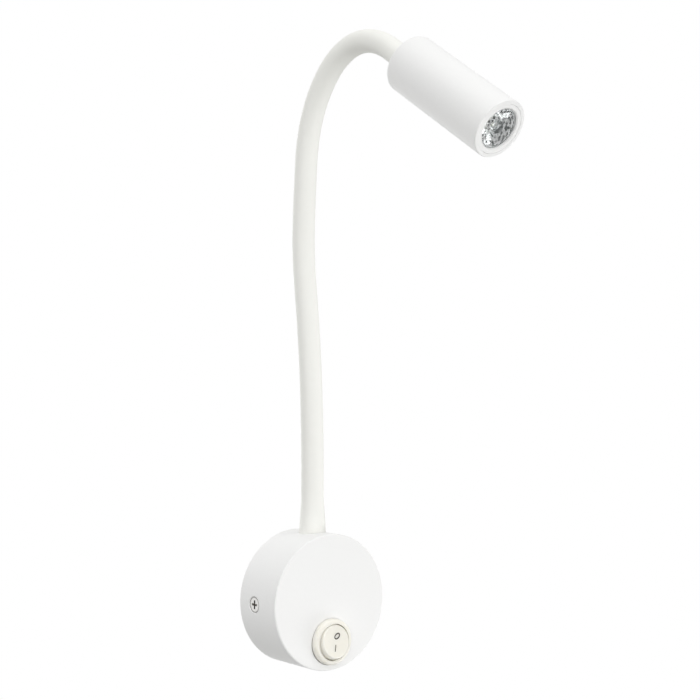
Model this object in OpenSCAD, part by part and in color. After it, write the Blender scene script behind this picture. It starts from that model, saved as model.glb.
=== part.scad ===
// Flexible wall light: round wall cup with a rocker switch, sleeved gooseneck, and a spot head with a lens.
// Millimetres. Origin on the wall behind the cup's centre, +Y into the wall, -Y to the room, +Z up.

/* [Wall cup] */
// Outside diameter of the cup
cup_d = 70; // [64:1:90]
// Depth of the cup from the wall to its front face
cup_depth = 30.5; // [29:0.5:40]
// Thickness of the cup's side
cup_wall = 2.4; // [2.2:0.1:4]
// Thickness of the cup's front
cup_front = 2.5; // [2:0.1:4]
// Radius of the cup's front edge
cup_edge = 0.8; // [0.4:0.1:2]

/* [Wall plate] */
// Thickness of the steel plate that is screwed to the wall
plate_t = 1.6; // [1.2:0.1:2.5]
// Distance between the two wall screws
wall_screw_pitch = 40; // [36:1:44]
// Width of a wall screw's slot
wall_slot_w = 4.5; // [4:0.1:5.5]
// Length of a wall screw's slot
wall_slot_len = 9; // [7:0.5:11]
// Width of each bent ear
ear_w = 12; // [10:0.5:14]
// How far each ear reaches from the wall
ear_reach = 17; // [16:0.5:22]
// Diameter of the cable hole in the grommet
cable_hole_d = 6.4; // [5:0.1:8]

/* [Side screws] */
// Thread diameter of the side screws
screw_d = 4; // [3:0.5:5]
// Diameter of a side screw's countersunk head
screw_head_d = 8.2; // [6:0.1:8.6]
// Distance of the side screws from the wall
screw_from_wall = 12.2; // [11:0.1:14]
// Length of a side screw
screw_len = 9; // [7:0.5:12]

/* [Rocker switch] */
// Outside diameter of the switch's bezel
bezel_d = 23.6; // [22:0.1:26]
// Height of the bezel above the cup's front
bezel_h = 3.6; // [3:0.1:4.5]
// Diameter of the switch's barrel, which fills the panel hole
barrel_d = 20.2; // [19.8:0.1:21]
// Depth of the barrel behind the cup's front face
barrel_depth = 16; // [15:0.5:18]
// Opening in the bezel that the rocker moves in
rocker_hole_d = 18.8; // [18:0.1:19]
// Radius of the hollow in the rocker's face
dish_r = 60; // [40:5:200]
// Radius of the rocker's outer edge
rocker_edge = 0.5; // [0.3:0.1:0.8]
// Height of the switch's centre above the cup's lowest point
switch_rise = 15; // [14:0.1:16]
// Turn of the switch in its round panel hole, clockwise from the front
switch_turn = 18; // [-30:1:30]
// Half of the rocker's travel
rocker_tilt = 10; // [6:1:12]
// Half of the contact lever's travel
lever_tilt = 6; // [4:1:8]

/* [Gooseneck] */
// Outside diameter of the soft sleeve
sleeve_d = 11.7; // [11:0.1:13]
// Thickness of the soft sleeve
sleeve_wall = 0.85; // [0.6:0.05:1.1]
// Bore of the steel gooseneck hose
hose_bore_d = 6; // [5:0.1:7]
// Diameter of the cable inside the hose
core_d = 4.4; // [3.5:0.1:4.8]
// Diameter of the sleeve's wide foot on the cup
foot_d = 13.9; // [13.4:0.1:14.6]
// Diameter of the sleeve where it meets the head
top_d = 12.5; // [12.4:0.1:13]
// Turn of the neck's plane about the vertical
neck_turn = 6; // [-30:1:30]
// Radius of the ball face between two neck sections
ball_r = 8.5; // [7.5:0.1:9.5]
// Length of each long section in the lower part of the neck
long_section = 32.5; // [30:0.5:36]
// Length of each short section in the arch
short_section = 16; // [15:0.5:18]

/* [Spot head] */
// Outside diameter of the head
head_d = 29.6; // [28:0.1:34]
// Length of the head
head_len = 69; // [66:0.5:76]
// Thickness of the head's shell at the front
shell_wall = 2; // [1.6:0.1:2.4]
// Thickness of the head's rear wall
rear_wall = 3; // [2.5:0.1:4]
// Radius of the head's rear edge
rear_edge = 2.5; // [2:0.5:5]
// Diameter of the lens that shows in the front ring
lens_show_d = 20.6; // [19:0.1:21]
// Length of the aluminium slug that takes the heat
slug_len = 20; // [16:0.5:24]

/* [Clearances] */
// Gap between fixed parts that slide together
slip = 0.1; // [0.05:0.01:0.2]
// Gap between parts that move against each other
run = 0.3; // [0.25:0.01:0.4]

/* [Hidden] */
$fn = 96;
cup_r = cup_d / 2;
cup_bore = cup_r - cup_wall;
front_y = -cup_depth;
switch_drop = cup_r - switch_rise;
inner_front_y = front_y + cup_front;
plate_r = cup_bore - 0.7;
ear_x = sqrt(plate_r * plate_r - ear_w * ear_w / 4);
ear_bend = 2.2;
grommet_r = 6;
slot_end = (wall_slot_len - wall_slot_w) / 2;

screw_r = screw_d / 2;
screw_head_r = screw_head_d / 2;
screw_sink = 0.45;
sink_r = screw_head_r + screw_sink + slip;

barrel_r = barrel_d / 2;
rocker_hole_r = rocker_hole_d / 2;
rocker_r = rocker_hole_r - run;
pivot_out = 1.3;
dish_out = 2.9;
dish_flat = 1;
dish_y = dish_out + dish_r;
rocker_under = 3;
edge_y = (pow(rocker_r - rocker_edge, 2) - pow(dish_r + rocker_edge, 2) + dish_y * dish_y) / (2 * dish_y);
edge_x = sqrt(pow(rocker_r - rocker_edge, 2) - edge_y * edge_y);
stem_reach = 6.5;
plunger_reach = 8;
plunger_r = 1.15;
pin_r = 0.7;
pin_reach = rocker_hole_r + 1.2;
chamber_r = barrel_r - 1.4;
chamber_end = barrel_depth - 1.2;
lever_t = 0.6;
lever_len = 11;
lever_w = 4;
lever_rib_r = 0.6;
lever_mid = plunger_reach + run + lever_t / 2;
tab_t = 0.8;
tab_w = 4.8;
tab_off = 4;
tab_out = 6.5;
tab_grip = 4;

sleeve_r = sleeve_d / 2;
hose_space_r = sleeve_r - sleeve_wall;
hose_r = hose_space_r - slip;
hose_bore_r = hose_bore_d / 2;
collar_bore_r = hose_r + slip;
collar_r = foot_d / 2 - sleeve_wall;
collar_h = 11;
collar_web = 2;
stub_r = 4.9;
stub_len = 10;
seat_r = foot_d / 2 + 0.25;
seat_z = sqrt(cup_r * cup_r - seat_r * seat_r);
neck_y = -cup_depth / 2;
boss_r = 9;
boss_z = seat_z - 3.6;
washer_t = 1;
nut_t = 3;
top_collar_r = top_d / 2 - 0.75;
top_collar_h = 7;
top_stub_r = 4.4;

sections = [long_section, long_section, long_section, long_section, long_section, long_section, short_section, short_section, short_section, short_section, short_section, short_section, short_section];
bends = [0, -2, -2.5, -2, 9, 2, 10.5, 12.5, 14, 24, 33, 25.5, 0];
last = len(sections) - 1;
function heading(i) = i == 0 ? 0 : heading(i - 1) + bends[i - 1];
function radius(i) = sections[i] * 180 / (PI * bends[i]);
function step_out(i, t) = bends[i] == 0 ? t * sections[i] * sin(heading(i)) : radius(i) * (cos(heading(i)) - cos(heading(i) + t * bends[i]));
function step_up(i, t) = bends[i] == 0 ? t * sections[i] * cos(heading(i)) : radius(i) * (sin(heading(i) + t * bends[i]) - sin(heading(i)));
function out_at(i) = i == 0 ? 0 : out_at(i - 1) + step_out(i - 1, 1);
function up_at(i) = i == 0 ? 0 : up_at(i - 1) + step_up(i - 1, 1);
function on_neck(i, t) = [0, -out_at(i) - step_out(i, t), up_at(i) + step_up(i, t)];
joint_back = sqrt(ball_r * ball_r - sleeve_r * sleeve_r);
function joint_t(i) = 1 - joint_back / sections[i];
function tube_len(i) = sections[i] + (i < last ? 3 : 0);
function on_head(w) = [0, -out_at(last + 1) - w * sin(heading(last + 1)), up_at(last + 1) + w * cos(heading(last + 1))];

head_r = head_d / 2;
head_bore_r = head_r - shell_wall;
back_bore_r = head_bore_r - 1;
ring_front = head_len - 0.1;
ring_t = 1;
lens_top = ring_front - ring_t - slip;
flange_t = 1.6;
flange_r = lens_show_d / 2 + 1.2;
lens_h = 8.4;
lens_foot_r = 5;
lens_rim_r = lens_show_d / 2 + 0.2;
emitter_h = 1.2;
board_t = 1.6;
board_r = 10;
slug_top = lens_top - lens_h - emitter_h - 0.2 - board_t;
slug_at = slug_top - slug_len;
screw_seat = board_r - 0.4;

driver_w = 40;
driver_h = 20;
driver_t = 13;
pad_t = 1;
driver_z = -6;
driver_back = inner_front_y + pad_t + driver_t;
block_w = 18;
block_h = 10;
block_t = 10;
block_z = 10;
lead_r = 0.9;
lead_spread = 15;
lead_bow = 9;
lead_lift = 4;
lead_dip = 16;
driver_inlet = 4;
cable_in_head = 18;
thin_lead_r = 0.7;
thin_lead_off = 1.1;
slot_run = head_bore_r - 1.8;
lead_free = slug_at - cable_in_head;

// Frames

// local +Z points to the room and local +Y up
module facing(at) {
    translate(at) rotate([90, 0, 0]) children();
}

// local +Z points outwards through the cup's side
module sideways(side) {
    translate([side * cup_r, -screw_from_wall, 0]) rotate([0, side * 90, 0]) children();
}

// the switch's own frame on the cup's front face, turned in its hole
module in_switch() {
    facing([0, front_y, -switch_drop]) rotate([0, 0, -switch_turn]) children();
}

module neck_frame() {
    translate([0, neck_y, seat_z]) rotate([0, 0, neck_turn]) children();
}

// start of neck section i, with local +Z along the neck
module at_section(i) {
    neck_frame() translate([0, -out_at(i), up_at(i)]) rotate([heading(i), 0, 0]) children();
}

// the head's frame, with local +Z from its rear face to its lens
module at_head() {
    at_section(last + 1) children();
}

// Shapes

// half outline of a round body with its far edge rounded
module rounded_half(r, h, edge) {
    square([r, h - edge]);
    square([r - edge, h]);
    translate([r - edge, h - edge]) intersection() {
        circle(edge);
        square(edge);
    }
}

// tube of one neck section's curve, over part of its length
module bent_tube(i, length, r_out, r_in) {
    bend = bends[i] * length / sections[i];
    if (bend == 0) {
        linear_extrude(height = length) ring_2d(r_out, r_in);
    } else {
        turn_r = abs(radius(i));
        rotate([0, 0, bend < 0 ? 180 : 0])
            translate([0, -turn_r, 0])
                rotate(a = 120, v = [1, 1, 1])
                    rotate_extrude(angle = abs(bend)) translate([turn_r, 0]) ring_2d(r_out, r_in);
    }
}

module ring_2d(r_out, r_in) {
    difference() {
        circle(r_out);
        circle(r_in);
    }
}

// ball centre of the joint at the end of section i, with local +Z along the neck
module at_joint(i) {
    neck_frame() translate(on_neck(i, joint_t(i))) rotate([heading(i) + joint_t(i) * bends[i], 0, 0]) children();
}

// cuts a hollow cup at the start of section i and a round dome at its end, both about their ball centres
module ball_ends(i) {
    difference() {
        children();
        if (i > 0) at_joint(i - 1) sphere(ball_r + run);
        if (i < last) at_joint(i) difference() {
            cylinder(r = ball_r + 4, h = ball_r + 6);
            sphere(ball_r);
        }
    }
}

module hex(r, h) {
    cylinder(r = r, h = h, $fn = 6);
}

// round lead swept along its own route
module lead(points, r, across) {
    sides = 10;
    count = len(points);
    function along(k) = points[min(k + 1, count - 1)] - points[max(k - 1, 0)];
    function unit(v) = v / norm(v);
    rings = [for (k = [0 : count - 1]) let (t = unit(along(k)), u = unit(cross(t, across)), v = cross(t, u)) for (j = [0 : sides - 1]) points[k] + r * (cos(360 * j / sides) * u + sin(360 * j / sides) * v)];
    walls = [for (k = [0 : count - 2]) for (j = [0 : sides - 1]) [k * sides + j, (k + 1) * sides + j, (k + 1) * sides + (j + 1) % sides, k * sides + (j + 1) % sides]];
    first = [for (j = [0 : sides - 1]) j];
    end = [for (j = [sides - 1 : -1 : 0]) (count - 1) * sides + j];
    polyhedron(points = rings, faces = concat([first], walls, [end]), convexity = 4);
}

// points of a round arc after its first one
function arc(centre, r, from, to, n) = [for (k = [1 : n]) let (a = from + (to - from) * k / n) centre + r * [cos(a), sin(a)]];

// smooth run through four corner points
function curve(a, b, c, d, n) = [for (k = [0 : n]) let (t = k / n) a * pow(1 - t, 3) + 3 * b * t * pow(1 - t, 2) + 3 * c * t * t * (1 - t) + d * pow(t, 3)];

// Base

module base_cup() {
    color("White") difference() {
        union() {
            facing([0, 0, 0]) rotate_extrude() difference() {
                rounded_half(cup_r, cup_depth, cup_edge);
                translate([0, -1]) square([cup_bore, cup_depth - cup_front + 1]);
            }
            translate([0, neck_y, boss_z]) cylinder(r = boss_r, h = cup_bore + 1 - boss_z);
        }
        translate([0, neck_y, seat_z]) cylinder(r = seat_r, h = 5);
        translate([0, neck_y, boss_z - 1]) cylinder(r = stub_r + slip, h = 10);
        facing([0, inner_front_y + 1, -switch_drop]) cylinder(r = barrel_r + slip, h = cup_front + 2);
        for (side = [-1, 1]) sideways(side) {
            translate([0, 0, -cup_wall - 1]) cylinder(r = screw_r + slip, h = cup_wall + 2);
            translate([0, 0, -sink_r + screw_r]) cylinder(r1 = screw_r, r2 = sink_r, h = sink_r - screw_r);
            cylinder(r = sink_r, h = 2);
        }
    }
}

module wall_plate() {
    color("Silver") difference() {
        union() {
            difference() {
                facing([0, 0, 0]) cylinder(r = plate_r, h = plate_t);
                for (side = [-1, 1]) translate([side * (ear_x - ear_bend + 20), 0, 0]) cube([40, 10, ear_w + 2], center = true);
            }
            for (side = [0, 180]) rotate([0, 0, side]) mirror([0, side / 180, 0]) ear();
        }
        facing([0, 1, 0]) cylinder(r = grommet_r + slip, h = plate_t + 2);
        facing([0, 1, -14]) translate([-15, 0, 0]) cylinder(r = 2 + slip, h = plate_t + 2);
        for (side = [-1, 1]) facing([side * wall_screw_pitch / 2, 1, 0]) {
            for (end = [-1, 1]) translate([end * slot_end, 0, 0]) cylinder(r = wall_slot_w / 2, h = plate_t + 2);
            translate([-slot_end, -wall_slot_w / 2, 0]) cube([2 * slot_end, wall_slot_w, plate_t + 2]);
        }
        for (side = [-1, 1]) translate([side * (ear_x - plate_t - 1), -screw_from_wall, 0]) rotate([0, side * 90, 0]) cylinder(r = screw_r + slip, h = plate_t + 2);
    }
}

// one ear bent forward out of the plate, with a round bend
module ear() {
    linear_extrude(height = ear_w, center = true) {
        translate([ear_x - ear_bend - 4, -plate_t]) square([4, plate_t]);
        translate([ear_x - plate_t, -ear_reach]) square([plate_t, ear_reach - ear_bend]);
        translate([ear_x - ear_bend, -ear_bend]) intersection() {
            ring_2d(ear_bend, ear_bend - plate_t);
            square(ear_bend);
        }
    }
}

module side_screws() {
    color("Gainsboro") for (side = [-1, 1]) sideways(side) translate([0, 0, -screw_sink]) difference() {
        union() {
            translate([0, 0, -(screw_head_r - screw_r)]) cylinder(r1 = screw_r, r2 = screw_head_r, h = screw_head_r - screw_r);
            translate([0, 0, -screw_len]) cylinder(r = screw_r, h = screw_len - 1);
        }
        cube([0.55 * screw_head_d, 0.14 * screw_head_d, 2.4], center = true);
        cube([0.14 * screw_head_d, 0.55 * screw_head_d, 2.4], center = true);
    }
}

module cable_grommet() {
    color("DimGray") facing([0, 0, 0]) rotate_extrude() difference() {
        union() {
            square([grommet_r, plate_t + 1]);
            translate([0, plate_t]) rounded_half(grommet_r + 1.6, 1.8, 0.6);
        }
        translate([0, -1]) square([cable_hole_d / 2, 10]);
    }
}

module earth_screw() {
    color("Gold") facing([-15, -plate_t, -14]) difference() {
        union() {
            translate([0, 0, -plate_t + 0.2]) cylinder(r = 2, h = plate_t);
            rotate_extrude() rounded_half(3.6, 2.4, 0.8);
        }
        translate([0, 0, 2.4]) cube([8, 1, 2], center = true);
    }
}

module terminal_block() {
    color("Ivory") translate([0, -plate_t, block_z]) difference() {
        translate([-block_w / 2, -block_t, 0]) cube([block_w, block_t, block_h]);
        for (side = [-1, 1]) translate([side * block_w / 4, -block_t / 2, -1]) {
            cylinder(r = 1.6, h = block_h + 2);
            for (end = [0.25, 0.75]) translate([0, 0, 1 + end * block_h]) rotate([90, 0, 0]) cylinder(r = 1.7, h = block_t);
        }
        translate([-0.6, -block_t - 1, -1]) cube([1.2, 4, block_h + 2]);
    }
}

module terminal_screws() {
    color("Gold") for (side = [-1, 1]) for (end = [0.25, 0.75])
        translate([side * block_w / 4, -plate_t - block_t / 2 - 1.2, block_z + end * block_h]) rotate([90, 0, 0]) difference() {
            cylinder(r = 1.7 - slip, h = 2.6);
            translate([0, 0, 2.6]) cube([4, 0.6, 1.2], center = true);
        }
}

module led_driver() {
    color("White") facing([0, driver_back, driver_z + driver_h / 2]) linear_extrude(height = driver_t) {
        square([driver_w - 3, driver_h], center = true);
        square([driver_w, driver_h - 3], center = true);
        for (x = [-1, 1]) for (y = [-1, 1]) translate([x * (driver_w - 3) / 2, y * (driver_h - 3) / 2]) circle(1.5);
    }
}

module driver_pad() {
    color("DarkGray") facing([0, inner_front_y + pad_t, driver_z + driver_h / 2]) translate([-driver_w / 2 + 3, -driver_h / 2 + 2, 0]) cube([driver_w - 6, driver_h - 4, pad_t]);
}

// Switch

module switch_housing() {
    color("Ivory") in_switch() difference() {
        union() {
            rotate_extrude() rounded_half(bezel_d / 2, bezel_h, bezel_h / 2);
            translate([0, 0, -barrel_depth]) cylinder(r = barrel_r, h = barrel_depth);
            for (side = [0, 180]) rotate([0, 0, side]) rotate([90, 0, 0]) linear_extrude(height = 6, center = true)
                polygon([[barrel_r - 1, -cup_front - slip], [barrel_r + 1, -cup_front - slip], [barrel_r, -cup_front - 6], [barrel_r - 1, -cup_front - 6]]);
        }
        translate([0, 0, -4.2]) cylinder(r = rocker_hole_r, h = 12);
        translate([0, 0, -chamber_end]) cylinder(r = chamber_r, h = chamber_end);
        translate([0, 0, pivot_out]) rotate([0, 90, 0]) cylinder(r = pin_r + run, h = 2 * (pin_reach + run), center = true);
        for (side = [-1, 1]) translate([0, side * tab_off, -barrel_depth]) cube([tab_w + 2 * slip, tab_t + 2 * slip, 4], center = true);
    }
}

// frame of the tilted rocker, at rest with its upper half pressed in
module in_rocker() {
    in_switch() translate([0, 0, pivot_out]) rotate([-rocker_tilt, 0, 0]) children();
}

// half outline of the rocker's button: a ball about its pivot, a hollow face and a round edge between them
module rocker_half() {
    edge = [edge_x, edge_y];
    face_turn = asin(edge_x / (dish_r + rocker_edge));
    flat_turn = asin(dish_flat / dish_r);
    foot_x = sqrt(rocker_r * rocker_r - rocker_under * rocker_under);
    ball_to = atan2(edge_y, edge_x);
    polygon(concat(
        [[0, -rocker_under], [foot_x, -rocker_under]],
        arc([0, 0], rocker_r, -asin(rocker_under / rocker_r), ball_to, 12),
        arc(edge, rocker_edge, ball_to, 90 + face_turn, 8),
        arc([0, dish_y], dish_r, 270 + face_turn, 270 + flat_turn, 8),
        [[0, dish_y - dish_r * cos(flat_turn)]]
    ));
}

module switch_rocker() {
    color("Ivory") in_rocker() difference() {
        union() {
            rotate_extrude() rocker_half();
            rotate([0, 90, 0]) cylinder(r = pin_r, h = 2 * pin_reach, center = true);
            translate([0, 0, -stem_reach]) cylinder(r = 2.2, h = stem_reach);
        }
        translate([0, 0, -stem_reach - 1]) cylinder(r = plunger_r + slip, h = stem_reach - 1);
    }
}

module switch_plunger() {
    color("Silver") in_rocker() {
        translate([0, 0, -plunger_reach + plunger_r]) sphere(plunger_r);
        translate([0, 0, -plunger_reach + plunger_r]) cylinder(r = plunger_r, h = 4);
    }
}

module contact_lever() {
    color("Gold") in_switch() translate([0, 0, pivot_out - lever_mid]) rotate([lever_tilt, 0, 0]) {
        cube([lever_w, lever_len, lever_t], center = true);
        rotate([0, 90, 0]) cylinder(r = lever_rib_r, h = lever_w, center = true);
    }
}

// two blades through the back of the barrel, one with a grooved rest for the lever's rib and one with its fixed contact
module switch_terminals() {
    lever_low = pivot_out - lever_mid - lever_t / 2;
    drop = tab_off * tan(lever_tilt);
    color("Gold") in_switch() {
        translate([-tab_w / 2, tab_off - tab_t / 2, -barrel_depth - tab_out]) cube([tab_w, tab_t, barrel_depth + tab_out + lever_low - drop - run - 0.6]);
        translate([0, tab_off, lever_low - drop - run - 0.6]) cylinder(r = 0.9, h = 0.6);
        translate([-tab_w / 2, -tab_off - tab_t / 2, -barrel_depth - tab_out]) cube([tab_w, tab_t, tab_out + tab_grip]);
        translate([-tab_w / 2, -tab_off - tab_t / 2, -barrel_depth + tab_grip - tab_t]) cube([tab_w, tab_off + tab_t, tab_t]);
        difference() {
            translate([-tab_w / 2, -tab_t / 2, -barrel_depth + tab_grip - tab_t]) cube([tab_w, tab_t, barrel_depth - tab_grip + tab_t + lever_low - run]);
            translate([0, 0, pivot_out - lever_mid]) rotate([0, 90, 0]) cylinder(r = lever_rib_r + run, h = tab_w + 2, center = true);
        }
    }
}

// line and neutral leads between the terminal block, the switch and the driver
module supply_leads() {
    tab_y = front_y + barrel_depth + tab_out;
    tab_in = [tab_off * sin(switch_turn), tab_y, -switch_drop + tab_off * cos(switch_turn)];
    tab_back = [-tab_in[0], tab_y, -switch_drop - tab_off * cos(switch_turn)];
    pole = block_w / 4;
    pole_y = -plate_t - block_t / 2;
    drive_y = driver_back - driver_inlet;
    color("Chocolate") {
        lead(curve([-pole, pole_y, block_z], [-pole, pole_y, -4], tab_in + [-lead_bow, 0.9 * lead_lift, lead_lift], tab_in, 14), lead_r, [1, 0.2, 0.1]);
        lead(curve(tab_back, tab_back + [-lead_lift / 2, lead_lift, 0], [-lead_spread, tab_y + lead_lift / 2, -lead_dip - lead_lift], [-lead_spread, drive_y, driver_z], 14), lead_r, [1, 0.2, 0.1]);
    }
    color("RoyalBlue") lead(curve([pole, pole_y, block_z], [pole, pole_y, 0], [lead_spread, pole_y - lead_lift, -lead_dip], [lead_spread, drive_y, driver_z], 14), lead_r, [1, 0.2, 0.1]);
}

// Neck

module neck_fitting() {
    color("Silver") neck_frame() rotate_extrude() difference() {
        union() {
            square([collar_r, collar_h - 1]);
            square([collar_r - 0.8, collar_h]);
            translate([0, -stub_len]) square([stub_r, stub_len]);
        }
        translate([0, collar_web]) square([collar_bore_r, collar_h]);
        translate([0, -stub_len - 1]) square([hose_bore_r, stub_len + collar_web + 2]);
    }
}

module neck_washer() {
    color("Silver") translate([0, neck_y, boss_z - washer_t]) difference() {
        cylinder(r = boss_r - 0.5, h = washer_t);
        translate([0, 0, -1]) cylinder(r = stub_r + slip, h = washer_t + 2);
    }
}

module neck_nut() {
    color("Silver") translate([0, neck_y, boss_z - washer_t - nut_t]) difference() {
        hex(8, nut_t);
        translate([0, 0, -1]) cylinder(r = stub_r + slip, h = nut_t + 2);
    }
}

// soft sleeve, one piece in the real lamp, drawn in sections that bend against each other
module sleeve(i) {
    color("WhiteSmoke") ball_ends(i) at_section(i) {
        if (i == 0) rotate_extrude() polygon([[collar_r + slip, 0], [foot_d / 2, 0], [foot_d / 2 - 0.05, 3], [(foot_d + sleeve_d) / 4, 11], [sleeve_r, 20], [sleeve_r, tube_len(0)], [hose_space_r, tube_len(0)], [hose_space_r, collar_h + 1.6], [collar_r + slip, collar_h + 0.2]]);
        else if (i == last) rotate_extrude() polygon([[hose_space_r, 0], [sleeve_r, 0], [sleeve_r, sections[last] - 12], [top_d / 2, sections[last] - 5], [top_d / 2, sections[last]], [top_collar_r + slip, sections[last]], [top_collar_r + slip, sections[last] - top_collar_h - 0.2], [hose_space_r, sections[last] - top_collar_h - 1]]);
        else bent_tube(i, tube_len(i), sleeve_r, hose_space_r);
    }
}

// wound steel hose under the sleeve, which holds its bend by friction
module hose(i) {
    color("Gray") ball_ends(i) at_section(i) {
        if (i == 0) translate([0, 0, collar_web]) linear_extrude(height = tube_len(0) - collar_web) ring_2d(hose_r, hose_bore_r);
        else if (i == last) linear_extrude(height = sections[last] - 2) ring_2d(hose_r, hose_bore_r);
        else bent_tube(i, tube_len(i), hose_r, hose_bore_r);
    }
}

// two-core cable from the driver through the hose into the head, along its whole route
module led_cable() {
    top = driver_z + driver_h - seat_z;
    out = -driver_back + neck_y + 6;
    start = curve([0, -out, top], [0, -out, top + 5], [0, 0, top + 4], [0, 0, -stub_len + 1], 8);
    run_up = [for (i = [0 : last]) for (t = [1 : 6]) on_neck(i, t / 6)];
    color("LightGray") neck_frame() lead(concat(start, [[0, 0, 0]], run_up, [for (k = [1 : 3]) on_head(k * cable_in_head / 3)]), core_d / 2, [1, 0, 0]);
}

// Head

module head_fitting() {
    color("Silver") at_head() rotate_extrude() difference() {
        union() {
            translate([0, -top_collar_h]) square([top_collar_r, top_collar_h]);
            square([top_stub_r, rear_wall + 7]);
        }
        translate([0, -top_collar_h - 1]) square([collar_bore_r, top_collar_h - 1]);
        translate([0, -top_collar_h - 1]) square([hose_bore_r, rear_wall + top_collar_h + 9]);
    }
}

module head_washer() {
    color("Silver") at_head() translate([0, 0, rear_wall]) difference() {
        cylinder(r = 8, h = washer_t);
        translate([0, 0, -1]) cylinder(r = top_stub_r + slip, h = washer_t + 2);
    }
}

module head_nut() {
    color("Silver") at_head() translate([0, 0, rear_wall + washer_t]) difference() {
        hex(7.5, nut_t);
        translate([0, 0, -1]) cylinder(r = top_stub_r + slip, h = nut_t + 2);
    }
}

module head_shell() {
    color("White") at_head() rotate_extrude() difference() {
        union() {
            translate([0, rear_edge]) rounded_half(head_r, head_len - rear_edge, 0.6);
            square([head_r - rear_edge, rear_edge]);
            translate([head_r - rear_edge, rear_edge]) circle(rear_edge);
        }
        translate([0, rear_wall]) square([back_bore_r, head_len]);
        translate([0, slug_at]) square([head_bore_r, head_len]);
        translate([0, -1]) square([top_stub_r + slip, rear_wall + 2]);
    }
}

module heat_slug() {
    color("LightGray") at_head() translate([0, 0, slug_at]) difference() {
        cylinder(r = head_bore_r - slip, h = slug_len);
        translate([-2.5, -head_bore_r - 1, -1]) cube([5, 5, slug_len + 2]);
        for (side = [-1, 1]) translate([side * screw_seat, 0, slug_len - 7]) cylinder(r = 1.5 + slip, h = 8);
    }
}

module led_board() {
    color("WhiteSmoke") at_head() translate([0, 0, slug_top]) difference() {
        cylinder(r = board_r, h = board_t);
        for (k = [0 : 5]) rotate([0, 0, 60 * k]) translate([screw_seat, 0, -1]) cylinder(r = 1.7, h = board_t + 2);
        translate([-2.5, -board_r - 1, -1]) cube([5, 2.4, board_t + 2]);
    }
}

module led_emitter() {
    base = emitter_h - 0.3;
    color("Khaki") at_head() translate([0, 0, slug_top + board_t]) {
        translate([-2.8, -2.8, 0]) cube([5.6, 5.6, base]);
        intersection() {
            translate([0, 0, base]) sphere(2.5);
            translate([-4, -4, base / 2]) cube([8, 8, 8]);
        }
    }
}

module board_screws() {
    color("Silver") at_head() for (side = [-1, 1]) translate([side * screw_seat, 0, slug_top + board_t]) difference() {
        union() {
            translate([0, 0, -7.5]) cylinder(r = 1.5, h = 8);
            rotate_extrude() rounded_half(2.6, 1.8, 0.6);
        }
        translate([0, 0, 1.8]) cube([3.4, 0.6, 1.6], center = true);
        translate([0, 0, 1.8]) cube([0.6, 3.4, 1.6], center = true);
    }
}

// cone that holds the lens over the emitter, standing on the board
module lens_holder() {
    foot = slug_top + board_t;
    seat = lens_top - flange_t - slip;
    low = lens_top - lens_h;
    color("DimGray") at_head() rotate_extrude() polygon([[lens_foot_r + 0.4, foot], [lens_foot_r + 1.2, foot], [lens_foot_r + 1.2, low + 0.6], [lens_rim_r + 0.8, seat - 1.6], [head_bore_r - 0.4, seat - 1.2], [head_bore_r - 0.4, seat], [lens_rim_r + 0.2, seat], [lens_rim_r + 0.2, seat - 0.8], [lens_foot_r + 0.4, low]]);
}

// clear lens that gathers the light: cone, flange, hollow foot over the emitter
module lens() {
    low = lens_top - lens_h;
    color("LightCyan") at_head() difference() {
        rotate_extrude() polygon([[0, low], [lens_foot_r, low], [lens_rim_r - 0.6, lens_top - flange_t - 0.8], [lens_rim_r - 0.4, lens_top - flange_t], [flange_r, lens_top - flange_t], [flange_r, lens_top], [0, lens_top]]);
        translate([0, 0, low - 1]) cylinder(r1 = 3.9, r2 = 3.5, h = 5);
        translate([0, 0, lens_top + 5.2]) sphere(6);
    }
}

module lens_ring() {
    color("White") at_head() rotate_extrude() polygon([[lens_show_d / 2, ring_front - ring_t], [head_bore_r - slip, ring_front - ring_t], [head_bore_r - slip, ring_front], [lens_show_d / 2 + 0.5, ring_front], [lens_show_d / 2, ring_front - 0.5]]);
}

// two thin leads from the cable's end through the slug's slot to the board
module led_leads() {
    color("Crimson") at_head() for (side = [-1, 1])
        lead(concat(
            curve([side * thin_lead_off, 0, cable_in_head + run], [side * thin_lead_off, 0, cable_in_head + 0.45 * lead_free], [side * thin_lead_off, -slot_run, cable_in_head + 0.12 * lead_free], [side * thin_lead_off, -slot_run, slug_at + 2], 8),
            [[side * thin_lead_off, -slot_run, slug_at + slug_len - 2]],
            curve([side * thin_lead_off, -slot_run, slug_top], [side * thin_lead_off, -slot_run, slug_top + 1.8], [side * thin_lead_off, -slot_run, slug_top + board_t + 0.9], [side * thin_lead_off, -slot_run + 2.6, slug_top + board_t + 0.8], 6)
        ), thin_lead_r, [1, 0, 0]);
}

base_cup();
wall_plate();
side_screws();
cable_grommet();
earth_screw();
terminal_block();
terminal_screws();
led_driver();
driver_pad();
switch_housing();
switch_rocker();
switch_plunger();
contact_lever();
switch_terminals();
supply_leads();
neck_fitting();
neck_washer();
neck_nut();
sleeve(0);  // sleeve_01
sleeve(1);  // sleeve_02
sleeve(2);  // sleeve_03
sleeve(3);  // sleeve_04
sleeve(4);  // sleeve_05
sleeve(5);  // sleeve_06
sleeve(6);  // sleeve_07
sleeve(7);  // sleeve_08
sleeve(8);  // sleeve_09
sleeve(9);  // sleeve_10
sleeve(10);  // sleeve_11
sleeve(11);  // sleeve_12
sleeve(12);  // sleeve_13
hose(0);  // hose_01
hose(1);  // hose_02
hose(2);  // hose_03
hose(3);  // hose_04
hose(4);  // hose_05
hose(5);  // hose_06
hose(6);  // hose_07
hose(7);  // hose_08
hose(8);  // hose_09
hose(9);  // hose_10
hose(10);  // hose_11
hose(11);  // hose_12
hose(12);  // hose_13
led_cable();
head_fitting();
head_washer();
head_nut();
head_shell();
heat_slug();
led_board();
led_emitter();
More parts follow.
